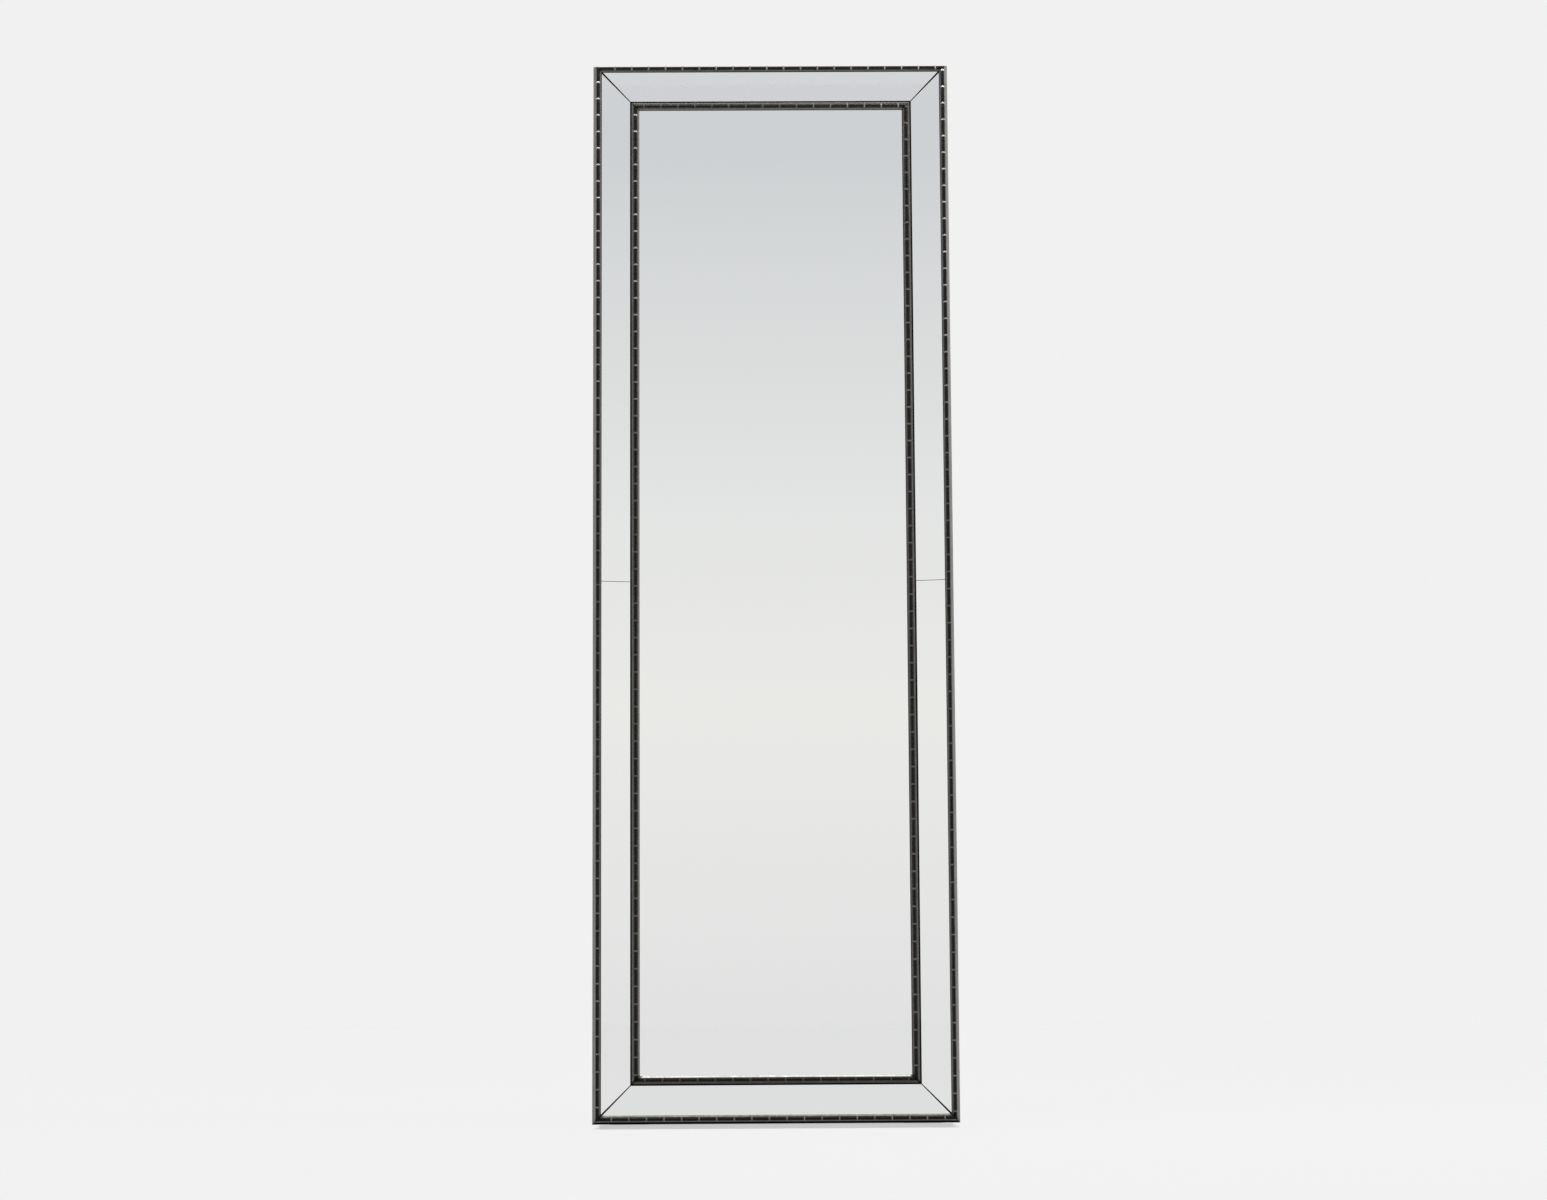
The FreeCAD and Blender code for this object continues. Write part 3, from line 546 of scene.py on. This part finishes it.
# Hangers: a pressed steel strap on each stile, its top end rolled round the bar of a loose wire D-ring. Nickel
# plated and tumbled, with fine scratches along the strap.
nickel, tree, shader, place = finish_of("nickel_plate", Metallic=1.0)
drawn = add(tree, "Mapping", {"Vector": place, "Scale": (1.0, 1.0, 0.06)}).outputs["Vector"]
scratch = placed_group(tree, patchy, {"Vector": drawn, "Scale": 1500.0, "Low": 0.18, "High": 0.34})
warm = placed_group(tree, patchy, {"Vector": place, "Scale": 160.0, "Low": 0.0, "High": 1.0})
tree.links.new(mixed(tree, warm["Value"], (0.56, 0.54, 0.50, 1.0), (0.66, 0.64, 0.60, 1.0)),
               shader.inputs["Base Color"])
tree.links.new(scratch["Value"], shader.inputs["Roughness"])
relief(tree, shader, scratch["Height"], strength=0.08, depth=0.0001)
dress(nickel, "hanger_strap_left", "hanger_strap_right", "hanger_ring_left", "hanger_ring_right")

# Pads: four round wall pads that taper to their faces and two flat foot pads, moulded black rubber with the
# fine matt bloom that rubber takes.
rubber, tree, shader, place = finish_of("black_rubber", Specular_IOR_Level=0.3)
bloom = placed_group(tree, patchy, {"Vector": place, "Scale": 90.0, "Low": 0.0, "High": 1.0})
grit = placed_group(tree, patchy, {"Vector": place, "Scale": 2200.0, "Low": 0.62, "High": 0.85})
tree.links.new(mixed(tree, bloom["Value"], (0.012, 0.012, 0.012, 1.0), (0.028, 0.028, 0.027, 1.0)),
               shader.inputs["Base Color"])
tree.links.new(grit["Value"], shader.inputs["Roughness"])
relief(tree, shader, grit["Height"], strength=0.25, depth=0.0002)
dress(rubber, "wall_pads", "foot_pads")

# Studio floor: a pale seamless sheet that glows evenly and looks greyer in the glass, paler where it is seen
# at a graze. One high lamp of its own, a little behind the mirror, throws the narrow shadow along the base,
# where only the glass, its beds, the inner mouldings and the back panel stand in its way.
PALE = 0.8796
FLOOR_REACH = 9.0
SHADE_CASTERS = ("mirror_glass", "border_glass", "border_bed", "inner_trim", "back_panel")


def lamp_at(name, kind, energy, turn, place=(0.0, 0.0, 0.0)):
    """A lamp turned by angles in degrees, at a place in metres, which a sun doesn't need."""
    data = bpy.data.lights.new(name, kind)
    data.energy = energy
    lamp = bpy.data.objects.new(name, data)
    lamp.location = place
    lamp.rotation_euler = [math.radians(angle) for angle in turn]
    bpy.context.collection.objects.link(lamp)
    return lamp


floor_mesh = bpy.data.meshes.new("floor")
floor_mesh.from_pydata([(-FLOOR_REACH, -FLOOR_REACH, 0), (FLOOR_REACH, -FLOOR_REACH, 0),
                        (FLOOR_REACH, FLOOR_REACH, 0), (-FLOOR_REACH, FLOOR_REACH, 0)], [], [(0, 1, 2, 3)])
floor = bpy.data.objects.new("floor", floor_mesh)
bpy.context.collection.objects.link(floor)
paper = bpy.data.materials.new("seamless_paper")
paper.use_nodes = True
tree = paper.node_tree
tree.nodes.remove(tree.nodes["Principled BSDF"])
rays = add(tree, "LightPath").outputs
graze = ranged(tree, add(tree, "LayerWeight", {"Blend": 0.5}).outputs["Facing"], 0.85, 0.93, 0.0, 1.0)
in_glass = mixed(tree, graze, (0.351, 0.354, 0.380, 1.0), (0.487, 0.487, 0.487, 1.0))
tone = mixed(tree, rays["Is Glossy Ray"], (0.561, 0.561, 0.561, 1.0), in_glass)
glow = add(tree, "Emission", {"Color": tone})
matt = add(tree, "BsdfDiffuse", {"Color": (PALE, PALE, PALE, 1.0)})
sheet = add(tree, "MixShader", {"Fac": 0.06})
tree.links.new(glow.outputs[0], sheet.inputs[1])
tree.links.new(matt.outputs[0], sheet.inputs[2])
tree.links.new(sheet.outputs[0], tree.nodes["Material Output"].inputs["Surface"])
floor_mesh.materials.append(paper)

floor_lamp = lamp_at("floor_lamp", "SUN", energy=18.0, turn=(-4.3, 0.0, 0.0))
floor_lamp.data.angle = math.radians(0.6)
floor_lamp.visible_glossy = False
lit_by_it = bpy.data.collections.new("floor_only")
lit_by_it.objects.link(floor)
floor_lamp.light_linking.receiver_collection = lit_by_it
shading_it = bpy.data.collections.new("glass_and_beds")
for piece in bpy.context.collection.objects:
    if any(word in piece.name for word in SHADE_CASTERS):
        shading_it.objects.link(piece)
floor_lamp.light_linking.blocker_collection = shading_it

# Room: an even pale surround. Polished surfaces see it shaded by height, brightest a little above eye level
# and greyer towards the ceiling, as in a photographer's white bay.
world = bpy.data.worlds.new("white_bay")
bpy.context.scene.world = world
world.use_nodes = True
tree = world.node_tree
way = add(tree, "SeparateXYZ", {"Vector": add(tree, "TexCoord").outputs["Generated"]}).outputs["Z"]
shade = add(tree, "ValToRGB", {"Fac": ranged(tree, way, -1.0, 1.0, 0.0, 1.0)})
stops = ((-0.208, (0.685, 0.697, 0.715)), (-0.04, (0.800, 0.803, 0.800)), (0.021, (0.850, 0.852, 0.845)),
         (0.085, (0.895, 0.895, 0.870)), (0.149, (0.840, 0.845, 0.840)), (0.213, (0.752, 0.762, 0.770)),
         (0.264, (0.668, 0.681, 0.702)), (0.399, (0.790, 0.797, 0.793)), (1.0, (0.80, 0.80, 0.80)))
ramp = shade.color_ramp
for index, (height, colour) in enumerate(stops):
    stop = ramp.elements[index] if index < 2 else ramp.elements.new(1.0)
    stop.position = (height + 1.0) / 2.0
    stop.color = (*colour, 1.0)
rays = add(tree, "LightPath").outputs
lit = mixed(tree, rays["Is Glossy Ray"], (0.85, 0.85, 0.85, 1.0), shade.outputs["Color"])
seen = mixed(tree, rays["Is Camera Ray"], lit, (PALE, PALE, PALE, 1.0))
tree.links.new(seen, tree.nodes["Background"].inputs["Color"])

# Lamps: two broad suns that model the depth of the frame, a long overhead strip light that only polished
# surfaces see, for the glints on the rings, and a warm panel high on the right that lifts the right flank.
for name, strength, turn in (("key_sun", 0.42, (48.0, 0.0, -38.0)), ("back_sun", 0.20, (50.0, 0.0, 150.0))):
    lamp = lamp_at(name, "SUN", strength, turn)
    lamp.data.angle = math.radians(25.0)
    lamp.visible_glossy = False
strip = lamp_at("overhead_strip", "AREA", energy=6.0, turn=(34.0, 0.0, 0.0), place=(0.0, -0.30, 1.95))
strip.data.shape = "RECTANGLE"
strip.data.size, strip.data.size_y = 1.4, 0.10
strip.visible_diffuse = False
strip.visible_camera = False
panel = lamp_at("side_panel", "AREA", energy=20.0, turn=(10.0, 55.0, 0.0), place=(1.5, -0.4, 2.3))
panel.data.size = 0.5
panel.data.color = (1.0, 0.94, 0.89)
panel.visible_glossy = False
panel.visible_camera = False

# Camera: a short telephoto, low and looking up a little, almost square on to the mirror. Its focal length was
# solved in pixels of a view 1547 wide.
FOCAL_PIXELS = 3100.0
VIEW_PIXELS = 1547.0
SENSOR_WIDTH = 36.0
camera_data = bpy.data.cameras.new("camera")
camera_data.lens = FOCAL_PIXELS / VIEW_PIXELS * SENSOR_WIDTH
camera_data.sensor_width = SENSOR_WIDTH
camera = bpy.data.objects.new("camera", camera_data)
roll, pitch, yaw = (math.radians(angle) for angle in (0.276, 6.879, 0.424))
turn = (Matrix.Rotation(roll, 4, "Y") @ Matrix.Rotation(pitch, 4, "X") @ Matrix.Rotation(-yaw, 4, "Z")
        @ Matrix.Rotation(math.pi / 2.0, 4, "X"))
camera.matrix_world = Matrix.Translation((-0.0380, -4.7689, 0.2262)) @ turn
bpy.context.collection.objects.link(camera)
bpy.context.scene.camera = camera
bpy.context.scene.view_settings.view_transform = "Standard"
